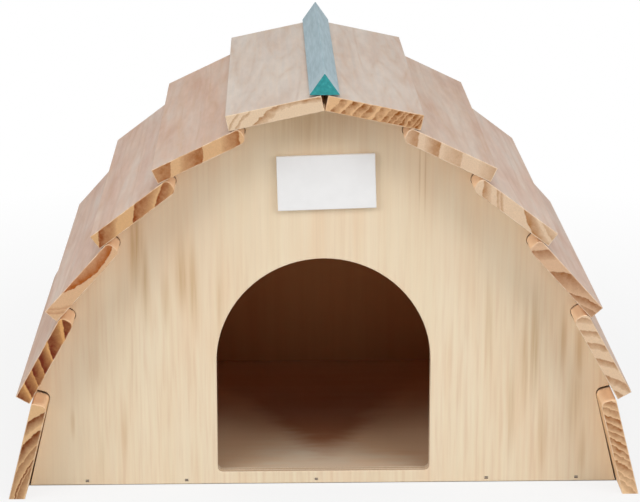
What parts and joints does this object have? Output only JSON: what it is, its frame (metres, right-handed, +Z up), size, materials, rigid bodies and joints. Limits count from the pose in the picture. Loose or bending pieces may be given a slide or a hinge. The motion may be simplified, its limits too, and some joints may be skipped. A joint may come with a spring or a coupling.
{
  "type": "hedgehog house",
  "caption": "Arched timber hedgehog shelter with overlapping whitewashed boards on stepped plywood end panels, a round-topped doorway, a floor, a ridge strip and a blank plaque.",
  "frame": {"origin": "on the ground under the middle of the house, halfway along the roof boards", "axes": "+Z up, -Y out of the doorway, +X to the right as seen from the front, along the panels"},
  "size_m": [0.4494, 0.3, 0.3065],
  "materials": {
    "panel_plywood": "sanded pale plywood with faint upright grain",
    "floor_plywood": "bare plywood",
    "whitewashed_pine": "pine with a thin whitewash on its faces and bare sawn ends",
    "ridge_paint": "pine painted teal, brushed over thinly with pale blue on its sides",
    "plaque_paint": "smooth white paint",
    "brad_steel": "dull galvanised wire"
  },
  "bodies": {
    "root": {"front_panel": "panel_plywood", "back_panel": "panel_plywood", "floor_panel": "floor_plywood", "roof_board_1_left": "whitewashed_pine", "roof_board_2_left": "whitewashed_pine", "roof_board_3_left": "whitewashed_pine", "roof_board_4_left": "whitewashed_pine", "roof_board_5_left": "whitewashed_pine", "roof_board_1_right": "whitewashed_pine", "roof_board_2_right": "whitewashed_pine", "roof_board_3_right": "whitewashed_pine", "roof_board_4_right": "whitewashed_pine", "roof_board_5_right": "whitewashed_pine", "wall_board_left": "whitewashed_pine", "wall_board_right": "whitewashed_pine", "ridge_strip": "ridge_paint", "name_plaque": "plaque_paint", "brad_front_left_1": "brad_steel", "brad_front_left_2": "brad_steel", "brad_front_left_3": "brad_steel", "brad_front_left_4": "brad_steel", "brad_front_left_5": "brad_steel", "brad_front_left_6": "brad_steel", "brad_front_right_1": "brad_steel", "brad_front_right_2": "brad_steel", "brad_front_right_3": "brad_steel", "brad_front_right_4": "brad_steel", "brad_front_right_5": "brad_steel", "brad_front_right_6": "brad_steel", "brad_back_left_1": "brad_steel", "brad_back_left_2": "brad_steel", "brad_back_left_3": "brad_steel", "brad_back_left_4": "brad_steel", "brad_back_left_5": "brad_steel", "brad_back_left_6": "brad_steel", "brad_back_right_1": "brad_steel", "brad_back_right_2": "brad_steel", "brad_back_right_3": "brad_steel", "brad_back_right_4": "brad_steel", "brad_back_right_5": "brad_steel", "brad_back_right_6": "brad_steel", "brad_front_floor_1": "brad_steel", "brad_front_floor_2": "brad_steel", "brad_front_floor_3": "brad_steel", "brad_front_floor_4": "brad_steel", "brad_front_floor_5": "brad_steel", "brad_back_floor_1": "brad_steel", "brad_back_floor_2": "brad_steel", "brad_back_floor_3": "brad_steel", "brad_back_floor_4": "brad_steel", "brad_back_floor_5": "brad_steel"}
  },
  "joints": []
}
